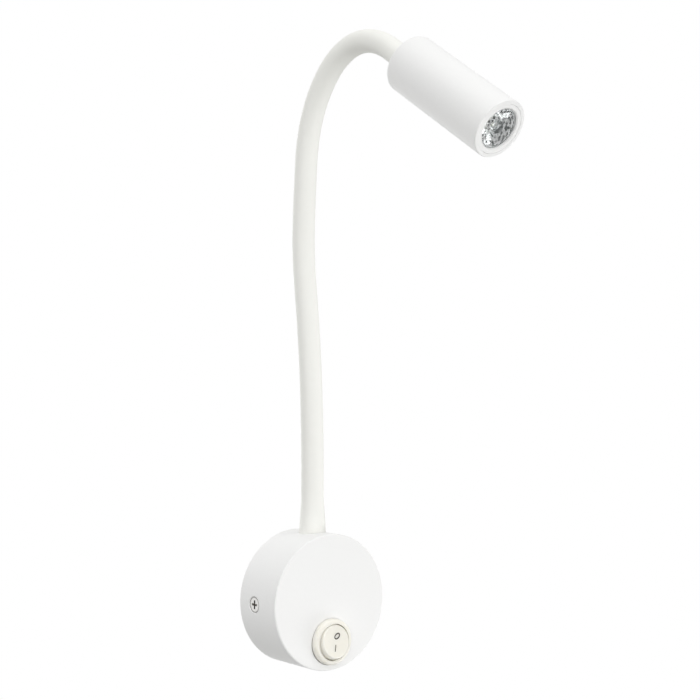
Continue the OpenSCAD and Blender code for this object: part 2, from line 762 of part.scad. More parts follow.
board_screws();
lens_holder();
lens();
lens_ring();
led_leads();
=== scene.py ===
import math

import bpy
from mathutils import Matrix, Vector


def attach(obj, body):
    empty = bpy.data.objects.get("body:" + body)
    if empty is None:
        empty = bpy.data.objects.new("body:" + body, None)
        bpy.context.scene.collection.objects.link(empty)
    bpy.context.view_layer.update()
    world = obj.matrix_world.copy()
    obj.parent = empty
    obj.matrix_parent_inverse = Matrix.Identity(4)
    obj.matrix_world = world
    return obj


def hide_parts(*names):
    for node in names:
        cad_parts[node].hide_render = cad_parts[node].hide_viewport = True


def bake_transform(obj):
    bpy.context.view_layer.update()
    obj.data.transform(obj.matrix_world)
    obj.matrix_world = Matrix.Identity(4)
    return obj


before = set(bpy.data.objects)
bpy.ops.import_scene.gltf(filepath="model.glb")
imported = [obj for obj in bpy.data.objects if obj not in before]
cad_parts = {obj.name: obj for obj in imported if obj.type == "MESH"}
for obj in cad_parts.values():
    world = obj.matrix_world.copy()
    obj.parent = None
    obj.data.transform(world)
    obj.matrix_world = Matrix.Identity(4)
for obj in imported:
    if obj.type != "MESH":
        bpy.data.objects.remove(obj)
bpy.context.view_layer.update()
scene = bpy.context.scene


# Camera and studio
# The wall light hangs on a wall that isn't shown. The camera stands level with its middle, 0.8 m away
# to the left. The surroundings are white, with more light from above than from below.

camera_data = bpy.data.cameras.new("camera")
camera_data.sensor_width = 36
camera_data.lens = 76.55
camera = bpy.data.objects.new("camera", camera_data)
camera.location = (-0.46684, -0.63487, 0.12946)
camera.rotation_euler = (math.radians(90), 0, math.radians(-38.44))
scene.collection.objects.link(camera)
scene.camera = camera
scene.view_settings.view_transform = "Standard"


def linear(hex_colour):
    """sRGB hex such as #F4F4F2 to the linear colour that a shader socket takes."""
    channels = []
    for start in (1, 3, 5):
        value = int(hex_colour[start:start + 2], 16) / 255
        channels.append(value / 12.92 if value <= 0.04045 else ((value + 0.055) / 1.055) ** 2.4)
    return (*channels, 1.0)


def add_node(tree, kind, values=None, links=None, **settings):
    """Adds a node to a material or world, with its settings, socket values and incoming links.

    A Mix node takes numbers in sockets 2 and 3 and colours in 6 and 7. Its colour leaves by output 2.
    """
    made = tree.nodes.new(kind)
    for name, value in settings.items():
        setattr(made, name, value)
    for socket, value in (values or {}).items():
        made.inputs[socket].default_value = value
    for socket, source in (links or {}).items():
        tree.links.new(source, made.inputs[socket])
    return made


def background_rays(tree):
    """1 where a ray shows the white background: seen directly, in a reflection or through the lens."""
    path = add_node(tree, "ShaderNodeLightPath")
    shown = add_node(tree, "ShaderNodeMath", operation="MAXIMUM",
                     links={0: path.outputs["Is Camera Ray"], 1: path.outputs["Is Glossy Ray"]})
    return add_node(tree, "ShaderNodeMath", operation="MAXIMUM",
                    links={0: shown.outputs[0], 1: path.outputs["Is Transmission Ray"]}).outputs[0]


light_from_below = 0.0
light_from_above = 0.96
white_background = 1.0
world = bpy.data.worlds.new("white_room")
scene.world = world
world.use_nodes = True
tree = world.node_tree
tree.nodes.clear()
towards = add_node(tree, "ShaderNodeTexCoord")
height = add_node(tree, "ShaderNodeSeparateXYZ", links={"Vector": towards.outputs["Generated"]})
room_light = add_node(tree, "ShaderNodeMapRange",
                      {"From Min": -1.0, "To Min": light_from_below, "To Max": light_from_above},
                      {"Value": height.outputs["Z"]})
room_level = add_node(tree, "ShaderNodeMix", {3: white_background},
                      {"Factor": background_rays(tree), 2: room_light.outputs[0]})
room_glow = add_node(tree, "ShaderNodeBackground", {"Color": linear("#FFFFFF")},
                     {"Strength": room_level.outputs[0]})
add_node(tree, "ShaderNodeOutputWorld", links={"Surface": room_glow.outputs[0]})

floor_half = 2.0
floor_height = -1.2
floor_corners = [(-1, -1), (1, -1), (1, 1), (-1, 1)]
floor_mesh = bpy.data.meshes.new("floor")
floor_mesh.from_pydata([(floor_half * x, floor_half * y, floor_height) for x, y in floor_corners],
                       [], [(0, 1, 2, 3)])
floor = bpy.data.objects.new("floor", floor_mesh)
scene.collection.objects.link(floor)

# pale grey paint, lifted to white where it is seen, so that it shows only the wall light's soft shadow
floor_glow = 0.8
floor_paint = bpy.data.materials.new("pale_painted_floor")
floor_paint.use_nodes = True
tree = floor_paint.node_tree
tree.nodes.clear()
floor_matt = add_node(tree, "ShaderNodeBsdfDiffuse", {"Color": linear("#9C9C9A")})
floor_lift = add_node(tree, "ShaderNodeMath", {1: floor_glow}, {0: background_rays(tree)},
                      operation="MULTIPLY")
floor_white = add_node(tree, "ShaderNodeEmission", {"Color": linear("#FFFFFF")},
                       {"Strength": floor_lift.outputs[0]})
floor_both = add_node(tree, "ShaderNodeAddShader",
                      links={0: floor_matt.outputs[0], 1: floor_white.outputs[0]})
add_node(tree, "ShaderNodeOutputMaterial", links={"Surface": floor_both.outputs[0]})
floor_mesh.materials.append(floor_paint)

lamps_aim = Vector((0, -0.04, 0.13))
softbox_size = 0.6
key_size = 0.25
panel_size = 1.3


def studio_lamp(name, place, watts, size):
    """A square studio lamp, turned to the middle of the wall light."""
    data = bpy.data.lights.new(name, "AREA")
    data.size = size
    data.energy = watts
    lamp = bpy.data.objects.new(name, data)
    lamp.location = place
    lamp.rotation_euler = (lamps_aim - Vector(place)).to_track_quat("-Z", "Y").to_euler()
    scene.collection.objects.link(lamp)


studio_lamp("key_above", (0.5, -1.1, 1.5), 3.2, key_size)
studio_lamp("left_above", (-0.5, -0.45, 0.62), 0.77, softbox_size)
studio_lamp("front_left", (-1.1, -1.1, 0.1), 4.3, softbox_size)
studio_lamp("low_front", (0.15, -1.45, -0.45), 3.9, softbox_size)
studio_lamp("low_right", (1.0, -0.5, -0.75), 5.6, softbox_size)
studio_lamp("rear_panel", (0, 1.45, 0), 7.5, panel_size)


# Wall plate
# A round zinc-plated steel plate that two screws hold to the wall. Its two bent ears take the side
# screws of the cup, a rubber grommet lines the cable hole, and a brass screw takes the earth wire.


def grains_per_metre(millimetres):
    """Scale of a noise whose grains are that wide, on coordinates in metres."""
    return 1000 / millimetres


def new_finish(name):
    """An empty material, its node tree and the place on the object in metres."""
    material = bpy.data.materials.new(name)
    material.use_nodes = True
    material.node_tree.nodes.clear()
    place = add_node(material.node_tree, "ShaderNodeTexCoord").outputs["Object"]
    return material, material.node_tree, place


def dress(material, *nodes):
    """Gives CAD nodes that finish in place of their plain one."""
    for name in nodes:
        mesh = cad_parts[name].data
        mesh.materials.clear()
        mesh.materials.append(material)


# zinc plating on sheet steel: a cool grey metal with a cloudy spangle
zinc_steel, tree, place = new_finish("zinc_plated_sheet_steel")
spangle = add_node(tree, "ShaderNodeTexNoise", {"Scale": grains_per_metre(4.0), "Detail": 3.0},
                   {"Vector": place})
cloud = add_node(tree, "ShaderNodeMix", {6: linear("#9FA2A5"), 7: linear("#B4B7B8")},
                 {"Factor": spangle.outputs["Fac"]}, data_type="RGBA")
shine = add_node(tree, "ShaderNodeMapRange", {"To Min": 0.28, "To Max": 0.46},
                 {"Value": spangle.outputs["Fac"]})
shader = add_node(tree, "ShaderNodeBsdfPrincipled", {"Metallic": 1.0},
                  {"Base Color": cloud.outputs[2], "Roughness": shine.outputs[0]})
add_node(tree, "ShaderNodeOutputMaterial", links={"Surface": shader.outputs[0]})
dress(zinc_steel, "wall_plate")

# moulded rubber: dark and matt, with a faint tooth
rubber, tree, place = new_finish("moulded_epdm_rubber")
tooth = add_node(tree, "ShaderNodeTexNoise", {"Scale": grains_per_metre(0.5)}, {"Vector": place})
bloom = add_node(tree, "ShaderNodeMix", {6: linear("#262627"), 7: linear("#303031")},
                 {"Factor": tooth.outputs["Fac"]}, data_type="RGBA")
relief = add_node(tree, "ShaderNodeBump", {"Strength": 0.3, "Distance": 0.00005},
                  {"Height": tooth.outputs["Fac"]})
shader = add_node(tree, "ShaderNodeBsdfPrincipled", {"Roughness": 0.75, "IOR": 1.52},
                  {"Base Color": bloom.outputs[2], "Normal": relief.outputs[0]})
add_node(tree, "ShaderNodeOutputMaterial", links={"Surface": shader.outputs[0]})
dress(rubber, "cable_grommet")

# turned brass: warm yellow metal with fine tool marks, six times as close along a screw as round it
brass, tree, place = new_finish("turned_brass")
stretched = add_node(tree, "ShaderNodeMapping", {"Scale": (1, 6, 1)}, {"Vector": place})
marks = add_node(tree, "ShaderNodeTexNoise", {"Scale": grains_per_metre(0.6)},
                 {"Vector": stretched.outputs[0]})
cloud = add_node(tree, "ShaderNodeMix", {6: linear("#BE9543"), 7: linear("#D2AE5E")},
                 {"Factor": marks.outputs["Fac"]}, data_type="RGBA")
shine = add_node(tree, "ShaderNodeMapRange", {"To Min": 0.2, "To Max": 0.38},
                 {"Value": marks.outputs["Fac"]})
shader = add_node(tree, "ShaderNodeBsdfPrincipled", {"Metallic": 1.0},
                  {"Base Color": cloud.outputs[2], "Roughness": shine.outputs[0]})
add_node(tree, "ShaderNodeOutputMaterial", links={"Surface": shader.outputs[0]})
dress(brass, "earth_screw", "terminal_screws", "contact_lever", "switch_terminals")


# Wiring inside the cup
# A screw terminal block on the plate takes the supply. The constant-current driver is a moulded case
# on a foam pad, and insulated leads join the block, the switch and the driver.

# moulded ABS: off-white and half matt, with the tooth of a spark-eroded mould
white_abs, tree, place = new_finish("moulded_white_abs")
tooth = add_node(tree, "ShaderNodeTexNoise", {"Scale": grains_per_metre(0.35)}, {"Vector": place})
cloud = add_node(tree, "ShaderNodeMix", {6: linear("#E6E5E1"), 7: linear("#ECEBE7")},
                 {"Factor": tooth.outputs["Fac"]}, data_type="RGBA")
relief = add_node(tree, "ShaderNodeBump", {"Strength": 0.3, "Distance": 0.00002},
                  {"Height": tooth.outputs["Fac"]})
shader = add_node(tree, "ShaderNodeBsdfPrincipled", {"Roughness": 0.5, "IOR": 1.53},
                  {"Base Color": cloud.outputs[2], "Normal": relief.outputs[0]})
add_node(tree, "ShaderNodeOutputMaterial", links={"Surface": shader.outputs[0]})
dress(white_abs, "terminal_block", "led_driver")

# polyethylene foam tape: dark grey, with cells that show
foam, tree, place = new_finish("polyethylene_foam_tape")
cells = add_node(tree, "ShaderNodeTexVoronoi", {"Scale": grains_per_metre(0.8)}, {"Vector": place})
cloud = add_node(tree, "ShaderNodeMix", {6: linear("#47484B"), 7: linear("#626367")},
                 {"Factor": cells.outputs["Distance"]}, data_type="RGBA")
relief = add_node(tree, "ShaderNodeBump", {"Strength": 0.6, "Distance": 0.0002},
                  {"Height": cells.outputs["Distance"]})
shader = add_node(tree, "ShaderNodeBsdfPrincipled", {"Roughness": 0.9, "IOR": 1.5},
                  {"Base Color": cloud.outputs[2], "Normal": relief.outputs[0]})
add_node(tree, "ShaderNodeOutputMaterial", links={"Surface": shader.outputs[0]})
dress(foam, "driver_pad")

# extruded PVC in brown: a smooth, slightly waxy skin whose colour is faintly uneven
brown_pvc, tree, place = new_finish("extruded_brown_pvc")
streaks = add_node(tree, "ShaderNodeTexNoise", {"Scale": grains_per_metre(0.9), "Detail": 1.0},
                   {"Vector": place})
cloud = add_node(tree, "ShaderNodeMix", {6: linear("#634430"), 7: linear("#73513C")},
                 {"Factor": streaks.outputs["Fac"]}, data_type="RGBA")
shader = add_node(tree, "ShaderNodeBsdfPrincipled", {"Roughness": 0.42, "IOR": 1.53},
                  {"Base Color": cloud.outputs[2]})
add_node(tree, "ShaderNodeOutputMaterial", links={"Surface": shader.outputs[0]})
dress(brown_pvc, "supply_leads", "led_leads")


# Wall cup
# A turned aluminium cup with a powder coat, 70 mm across. Its open back goes over the wall plate,
# its front is drilled for the switch and its top for the neck, and two side screws hold it.

switch_drop = 0.02
switch_middle = (0, 0, -switch_drop)
switch_axis = (0, 1, 0)
bezel_radius = 0.0118
seam_width = 0.0006
shade_top = 0.004 - switch_drop
shade_full = -0.006 - switch_drop


def off_axis(tree, place, middle, axis):
    """How far each place of a surface is from the line through middle along axis."""
    from_middle = add_node(tree, "ShaderNodeVectorMath", {1: middle}, {0: place}, operation="SUBTRACT")
    across = add_node(tree, "ShaderNodeVectorMath", {1: axis}, {0: from_middle.outputs[0]},
                      operation="CROSS_PRODUCT")
    length = add_node(tree, "ShaderNodeVectorMath", links={0: across.outputs[0]}, operation="LENGTH")
    return length.outputs["Value"]


# powder coat: an even satin white whose skin has a very slight orange peel, drawn coarser than the
# real half millimetre so that it breaks the reflections at this distance. A painted shadow darkens the
# cup in a thin ring along the lower half of the switch's bezel, where the bezel's shade falls.
powder_coat, tree, place = new_finish("powder_coated_aluminium_white")
peel = add_node(tree, "ShaderNodeTexNoise", {"Scale": grains_per_metre(1.6)}, {"Vector": place})
cloud = add_node(tree, "ShaderNodeMix", {6: linear("#F2F2F1"), 7: linear("#F5F5F4")},
                 {"Factor": peel.outputs["Fac"]}, data_type="RGBA")
shine = add_node(tree, "ShaderNodeMapRange", {"To Min": 0.38, "To Max": 0.5},
                 {"Value": peel.outputs["Fac"]})
relief = add_node(tree, "ShaderNodeBump", {"Strength": 0.12, "Distance": 0.00003},
                  {"Height": peel.outputs["Fac"]})
# painted shadow: a thin dark ring round the bezel's foot, full below the switch and fading out above it
near_bezel = add_node(tree, "ShaderNodeMapRange",
                      {"From Min": bezel_radius + seam_width, "From Max": bezel_radius},
                      {"Value": off_axis(tree, place, switch_middle, switch_axis)})
coordinates = add_node(tree, "ShaderNodeSeparateXYZ", links={"Vector": place})
shade_below = add_node(tree, "ShaderNodeMapRange", {"From Min": shade_top, "From Max": shade_full},
                 {"Value": coordinates.outputs["Z"]})
painted_shade = add_node(tree, "ShaderNodeMath", links={0: near_bezel.outputs[0], 1: shade_below.outputs[0]},
                operation="MULTIPLY")
shaded = add_node(tree, "ShaderNodeMix", {7: linear("#5C5A55")},
                  {"Factor": painted_shade.outputs[0], 6: cloud.outputs[2]}, data_type="RGBA")
shader = add_node(tree, "ShaderNodeBsdfPrincipled", {"IOR": 1.5},
                  {"Base Color": shaded.outputs[2], "Roughness": shine.outputs[0],
                   "Normal": relief.outputs[0]})
add_node(tree, "ShaderNodeOutputMaterial", links={"Surface": shader.outputs[0]})
dress(powder_coat, "base_cup")

screw_middle = (0, -0.0122, 0)
screw_axis = (1, 0, 0)
screw_face = 0.03455
cross_top = 0.0001
cross_shade = 0.0003
rim_inside = 0.0032
rim_outside = 0.0038

# nickel plating on the side screws: bright metal with rub marks, darkened by painted shade in the cross
# and along the rim of the head
shaded_nickel, tree, place = new_finish("nickel_plated_steel_painted_shade")
rubs = add_node(tree, "ShaderNodeTexNoise", {"Scale": grains_per_metre(0.5)}, {"Vector": place})
cloud = add_node(tree, "ShaderNodeMix", {6: linear("#C9C8C5"), 7: linear("#DDDCDA")},
                 {"Factor": rubs.outputs["Fac"]}, data_type="RGBA")
# painted shade: the rim of the screw head darkens against its countersink
on_rim = add_node(tree, "ShaderNodeMapRange", {"From Min": rim_inside, "From Max": rim_outside},
                  {"Value": off_axis(tree, place, screw_middle, screw_axis)})
rim_shaded = add_node(tree, "ShaderNodeMix", {7: linear("#8F8E8B")},
                  {"Factor": on_rim.outputs[0], 6: cloud.outputs[2]}, data_type="RGBA")
coordinates = add_node(tree, "ShaderNodeSeparateXYZ", links={"Vector": place})
sideways = add_node(tree, "ShaderNodeMath", links={0: coordinates.outputs["X"]}, operation="ABSOLUTE")
# painted shade: the recess of the cross darkens
in_cross = add_node(tree, "ShaderNodeMapRange",
                    {"From Min": screw_face - cross_top, "From Max": screw_face - cross_shade},
                    {"Value": sideways.outputs[0]})
cross_shaded = add_node(tree, "ShaderNodeMix", {7: linear("#8A8783")},
                 {"Factor": in_cross.outputs[0], 6: rim_shaded.outputs[2]}, data_type="RGBA")
shader = add_node(tree, "ShaderNodeBsdfPrincipled", {"Metallic": 1.0, "Roughness": 0.32},
                  {"Base Color": cross_shaded.outputs[2]})
add_node(tree, "ShaderNodeOutputMaterial", links={"Surface": shader.outputs[0]})
dress(shaded_nickel, "side_screws")


# Rocker switch
# A round snap-in switch moulded in ivory ABS. The rocker tips in its bezel, its plunger slides over the
# brass lever, and the off and on signs are pad printed on the rocker's hollow face.

cup_depth = 0.0305
bezel_top = bezel_radius - switch_drop
bezel_bottom = -bezel_radius - switch_drop
shade_on_top = 0.3

# moulded ABS in ivory: a warm white with a soft shine from the polished mould, which light enters a
# millimetre or so before it comes back. A painted shadow greys the seam where the bezel meets the cup,
# most of it underneath.
ivory_abs, tree, place = new_finish("moulded_ivory_abs")
flow = add_node(tree, "ShaderNodeTexNoise", {"Scale": grains_per_metre(3.0), "Detail": 1.0},
                {"Vector": place})
cloud = add_node(tree, "ShaderNodeMix", {6: linear("#F2EFE5"), 7: linear("#F6F3EA")},
                 {"Factor": flow.outputs["Fac"]}, data_type="RGBA")
shine = add_node(tree, "ShaderNodeMapRange", {"To Min": 0.32, "To Max": 0.42},
                 {"Value": flow.outputs["Fac"]})
# painted shadow: the bezel's outer edge darkens where it meets the cup, fully underneath and a third as
# much on top
outside = add_node(tree, "ShaderNodeMath", {1: bezel_radius - seam_width},
                   {0: off_axis(tree, place, switch_middle, switch_axis)}, operation="GREATER_THAN")
coordinates = add_node(tree, "ShaderNodeSeparateXYZ", links={"Vector": place})
low = add_node(tree, "ShaderNodeMapRange", {"From Min": -cup_depth - seam_width, "From Max": -cup_depth},
               {"Value": coordinates.outputs["Y"]})
in_seam = add_node(tree, "ShaderNodeMath", links={0: outside.outputs[0], 1: low.outputs[0]},
                   operation="MULTIPLY")
shade_below = add_node(tree, "ShaderNodeMapRange",
                 {"From Min": bezel_top, "From Max": bezel_bottom, "To Min": shade_on_top},
                 {"Value": coordinates.outputs["Z"]})
painted_shade = add_node(tree, "ShaderNodeMath", links={0: in_seam.outputs[0], 1: shade_below.outputs[0]},
                operation="MULTIPLY")
seam_shaded = add_node(tree, "ShaderNodeMix", {7: linear("#5E5B54")},
                  {"Factor": painted_shade.outputs[0], 6: cloud.outputs[2]}, data_type="RGBA")
shader = add_node(tree, "ShaderNodeBsdfPrincipled",
                  {"IOR": 1.53, "Subsurface Weight": 1.0, "Subsurface Scale": 0.0015,
                   "Subsurface Radius": (1.0, 1.0, 1.0)},
                  {"Base Color": seam_shaded.outputs[2], "Roughness": shine.outputs[0]})
add_node(tree, "ShaderNodeOutputMaterial", links={"Surface": shader.outputs[0]})
dress(ivory_abs, "switch_housing", "switch_rocker")

# nickel plating on small steel parts: bright, slightly warm metal with rub marks
nickel, tree, place = new_finish("nickel_plated_steel")
rubs = add_node(tree, "ShaderNodeTexNoise", {"Scale": grains_per_metre(0.5)}, {"Vector": place})
cloud = add_node(tree, "ShaderNodeMix", {6: linear("#BDBBB6"), 7: linear("#D3D1CC")},
                 {"Factor": rubs.outputs["Fac"]}, data_type="RGBA")
shine = add_node(tree, "ShaderNodeMapRange", {"To Min": 0.18, "To Max": 0.36},
                 {"Value": rubs.outputs["Fac"]})
shader = add_node(tree, "ShaderNodeBsdfPrincipled", {"Metallic": 1.0},
                  {"Base Color": cloud.outputs[2], "Roughness": shine.outputs[0]})
add_node(tree, "ShaderNodeOutputMaterial", links={"Surface": shader.outputs[0]})
dress(nickel, "switch_plunger")

# pad-printed ink: a matt grey-brown film that is a little thin in places
sign_ink, tree, place = new_finish("pad_printed_grey_ink")
thin_spots = add_node(tree, "ShaderNodeTexNoise", {"Scale": grains_per_metre(0.4)}, {"Vector": place})
cloud = add_node(tree, "ShaderNodeMix", {6: linear("#4A4640"), 7: linear("#635E56")},
                 {"Factor": thin_spots.outputs["Fac"]}, data_type="RGBA")
shader = add_node(tree, "ShaderNodeBsdfPrincipled", {"Roughness": 0.6, "IOR": 1.5},
                  {"Base Color": cloud.outputs[2]})
add_node(tree, "ShaderNodeOutputMaterial", links={"Surface": shader.outputs[0]})

rocker_pivot = Vector((0, -0.0318, -switch_drop))
switch_turn = math.radians(18)
rocker_tilt = math.radians(10)
dish_radius = 0.06
dish_out = 0.0029
ink_lift = 0.00003
ink_depth = 0.00006

# from the rocker's own frame, with +Z out of its face and +Y to the off sign, to the wall's
rocker_place = (Matrix.Translation(rocker_pivot) @ Matrix.Rotation(math.radians(90), 4, "X")
                @ Matrix.Rotation(-switch_turn, 4, "Z") @ Matrix.Rotation(-rocker_tilt, 4, "X"))


def on_dish(x, y, lift):
    """Point over the rocker's hollow face."""
    hollow = dish_out + dish_radius - math.sqrt(dish_radius ** 2 - x * x - y * y)
    return rocker_place @ Vector((x, y, hollow + lift))


def printed_sign(name, outer, inner=None):
    """A closed film of ink that fills an outline, or the room between it and an inner one."""
    top, bottom = ink_lift, ink_lift - ink_depth
    rims = [(outer, top), (outer, bottom)]
    strips = [(0, 1)]
    if inner:
        rims += [(inner, bottom), (inner, top)]
        strips += [(1, 2), (2, 3), (3, 0)]
    points = [on_dish(x, y, lift) for outline, lift in rims for x, y in outline]
    count = len(outer)
    faces = []
    for near, far in strips:
        for now in range(count):
            after = (now + 1) % count
            faces.append((near * count + now, far * count + now, far * count + after, near * count + after))
    if not inner:
        faces.append(range(count))
        faces.append(range(2 * count - 1, count - 1, -1))
    mesh = bpy.data.meshes.new(name)
    mesh.from_pydata(points, [], faces)
    mesh.materials.append(sign_ink)
    sign = bpy.data.objects.new(name, mesh)
    scene.collection.objects.link(sign)
    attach(sign, "rocker")


sign_points = 32
sign_shift = 0.0005
off_rise = 0.0029
off_half_length = 0.0021
off_half_width = 0.00145
off_stroke = 0.0007
off_slant = math.radians(48)
on_drop = 0.0033
on_height = 0.0036
on_stroke = 0.0005
turns = [2 * math.pi * step / sign_points for step in range(sign_points)]


def oval(half_length, half_width):
    """Outline of the off sign, a slanted O."""
    along = Vector((math.cos(off_slant), math.sin(off_slant)))
    across = Vector((-along.y, along.x))
    middle = Vector((sign_shift, off_rise))
    return [middle + half_length * math.cos(turn) * along + half_width * math.sin(turn) * across
            for turn in turns]


def bar(half_width, half_length):
    """Outline of the on sign, a bar with round ends."""
    ends = [math.copysign(half_length - half_width, math.sin(turn)) for turn in turns]
    return [(sign_shift + half_width * math.cos(turn), end - on_drop + half_width * math.sin(turn))
            for turn, end in zip(turns, ends)]


printed_sign("off_sign", oval(off_half_length, off_half_width),
             oval(off_half_length - off_stroke, off_half_width - off_stroke))
printed_sign("on_sign", bar(on_stroke / 2, on_height / 2))


# Neck fittings
# Zinc-plated steel collars, one clamped to the cup's top by a washer and a nut and one to the head's
# rear wall. The hose is pushed into them and the sleeve over them.
dress(zinc_steel, "neck_fitting", "neck_washer", "neck_nut", "head_fitting", "head_washer", "head_nut")


# Gooseneck hose
# A hose of wound spring-steel strip that stays as it is bent. It bends along its whole length, and it is
# drawn as one stretch round each joint of the model.

long_section = 0.0325
short_section = 0.016
section_lengths = [long_section] * 6 + [short_section] * 7
section_angles = (0, -2, -2.5, -2, 9, 2, 10.5, 12.5, 14, 24, 33, 25.5, 0)
section_bends = [math.radians(angle) for angle in section_angles]
section_ends = [sum(section_lengths[:count + 1]) for count in range(len(section_lengths))]
neck_length = section_ends[-1]
neck_turn = math.radians(6)
neck_root = Vector((0, -0.01525, 0.034251))
neck_out = Vector((math.sin(neck_turn), -math.cos(neck_turn), 0))
neck_side = Vector((math.cos(neck_turn), math.sin(neck_turn), 0))
neck_up = Vector((0, 0, 1))

# a joint turns a little before the end of its section, and the stretches meet halfway between joints
joint_back = 0.006167
joint_places = [end - joint_back for end in section_ends[:-1]]
neck_borders = [(near + far) / 2 for near, far in zip(joint_places, joint_places[1:])]
bend_reach = 0.013
bend_margin = 0.001
slope_step = 0.0002


def on_neck(along):
    """Point of the neck's centreline at that distance from the cup, and the direction there."""
    out = 0.0
    up = min(along, 0.0)
    heading = 0.0
    start = 0.0
    for length, bend in zip(section_lengths, section_bends):
        step = min(max(along - start, 0.0), length)
        turn = bend * step / length
        middle = heading + turn / 2
        chord = step * (math.sin(turn / 2) / (turn / 2) if turn else 1.0)
        out += chord * math.sin(middle)
        up += chord * math.cos(middle)
        heading += turn
        start += length
    beyond = max(along - neck_length, 0.0)
    direction = math.sin(heading) * neck_out + math.cos(heading) * neck_up
    return neck_root + out * neck_out + up * neck_up + beyond * direction, direction


def tube_mesh(name, stations, sides, outer_radius, inner_radius, route):
    """A closed tube with rings at those stations of a route: smooth walls and flat ends."""
    points, normals = [], []
    for radius, side in ((outer_radius, 1), (inner_radius, -1)):
        for along in stations:
            middle, direction = route(along)
            across = neck_side.cross(direction)
            slope = (radius(along + slope_step) - radius(along - slope_step)) / (2 * slope_step)
            for spoke in range(sides):
                turn = 2 * math.pi * spoke / sides
                outwards = math.cos(turn) * neck_side + math.sin(turn) * across
                points.append(middle + radius(along) * outwards)
                normals.append(side * (outwards - slope * direction).normalized())
    last_ring = len(stations) - 1
    wall = sides * len(stations)
    faces, corner_normals = [], []
    for ring in range(last_ring):
        for spoke in range(sides):
            near = ring * sides + spoke
            beside = ring * sides + (spoke + 1) % sides
            faces.append((near, near + sides, beside + sides, beside))
            faces.append((wall + near, wall + beside, wall + beside + sides, wall + near + sides))
    for face in faces:
        corner_normals.extend(normals[corner] for corner in face)
    for ring, sign in ((0, -1), (last_ring, 1)):
        flat = sign * route(stations[ring])[1]
        for spoke in range(sides):
            near = ring * sides + spoke
            beside = ring * sides + (spoke + 1) % sides
            corners = (near, beside, wall + beside, wall + near)
            faces.append(corners if ring == 0 else corners[::-1])
            corner_normals.extend([flat] * 4)
    mesh = bpy.data.meshes.new(name)
    mesh.from_pydata(points, [], faces)
    mesh.polygons.foreach_set("use_smooth", [True] * len(faces))
    mesh.normals_split_custom_set(corner_normals)
    return mesh


def neck_tube(name, first, last, step, sides, outer_radius, inner_radius, material, route=on_neck):
    """Tubes end to end from first to last along the neck, one round each joint."""
    tubes = []
    borders = [first, *neck_borders, last]
    for number, joint in enumerate(joint_places):
        start, end = borders[number], borders[number + 1]
        rings = max(2, math.ceil((end - start) / step))
        stations = [start + (end - start) * ring / rings for ring in range(rings + 1)]
        mesh = tube_mesh(f"{name}_{number + 1:02d}", stations, sides, outer_radius, inner_radius, route)
        mesh.materials.append(material)
        tube = bpy.data.objects.new(mesh.name, mesh)
        scene.collection.objects.link(tube)
        bend_start = route(max(start + bend_margin, joint - bend_reach))[0]
        bend_end = route(min(end - bend_margin, joint + bend_reach))[0]
        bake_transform(tube)
        tubes.append(tube)
    return tubes


# wound spring steel: grey metal, burnished in patches
hose_steel, tree, place = new_finish("wound_spring_steel")
burnish = add_node(tree, "ShaderNodeTexNoise", {"Scale": grains_per_metre(1.2), "Detail": 3.0},
                   {"Vector": place})
cloud = add_node(tree, "ShaderNodeMix", {6: linear("#7B7C7F"), 7: linear("#97989B")},
                 {"Factor": burnish.outputs["Fac"]}, data_type="RGBA")
shine = add_node(tree, "ShaderNodeMapRange", {"To Min": 0.25, "To Max": 0.42},
                 {"Value": burnish.outputs["Fac"]})
shader = add_node(tree, "ShaderNodeBsdfPrincipled", {"Metallic": 1.0},
                  {"Base Color": cloud.outputs[2], "Roughness": shine.outputs[0]})
add_node(tree, "ShaderNodeOutputMaterial", links={"Surface": shader.outputs[0]})

hose_radius = 0.0049
hose_bore = 0.003
hose_inset = 0.002
hose_sides = 24
turn_pitch = 0.0024
turn_depth = 0.0003
rings_in_turn = 4


def hose_outside(along):
    """Radius of the wound hose, whose turns show as low round ribs."""
    return hose_radius - turn_depth / 2 * (1 - math.cos(2 * math.pi * along / turn_pitch))


hose_tubes = neck_tube("hose", hose_inset, neck_length - hose_inset, turn_pitch / rings_in_turn, hose_sides,
                       hose_outside, lambda along: hose_bore, hose_steel)
for number, tube in enumerate(hose_tubes, start=1):
    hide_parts(f"hose_{number:02d}")

# the last stretch crosses the last joint, so it stands for the section beyond that too
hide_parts("hose_13")


# Lamp cable
# A round two-core cable in a grey PVC skin. It leaves the driver in the cup, turns up into the hose's
# bore and ends a finger's width inside the head.

# extruded PVC in light grey: a smooth, slightly waxy skin whose colour is faintly uneven
grey_pvc, tree, place = new_finish("extruded_grey_pvc")
streaks = add_node(tree, "ShaderNodeTexNoise", {"Scale": grains_per_metre(0.9), "Detail": 1.0},
                   {"Vector": place})
cloud = add_node(tree, "ShaderNodeMix", {6: linear("#C9C9C5"), 7: linear("#D3D3CF")},
                 {"Factor": streaks.outputs["Fac"]}, data_type="RGBA")
shader = add_node(tree, "ShaderNodeBsdfPrincipled", {"Roughness": 0.42, "IOR": 1.53},
                  {"Base Color": cloud.outputs[2]})
add_node(tree, "ShaderNodeOutputMaterial", links={"Surface": shader.outputs[0]})

cable_radius = 0.0022
cable_core = 0.0004
cable_in_head = 0.018
cable_rise = -0.009
cable_start = -0.02025
cable_shift = 0.00475
cable_ring_step = 0.003
cable_sides = 16


def ease(share):
    """0 to 1 with a soft start and a soft stop."""
    share = min(max(share, 0.0), 1.0)
    return share * share * (3 - 2 * share)


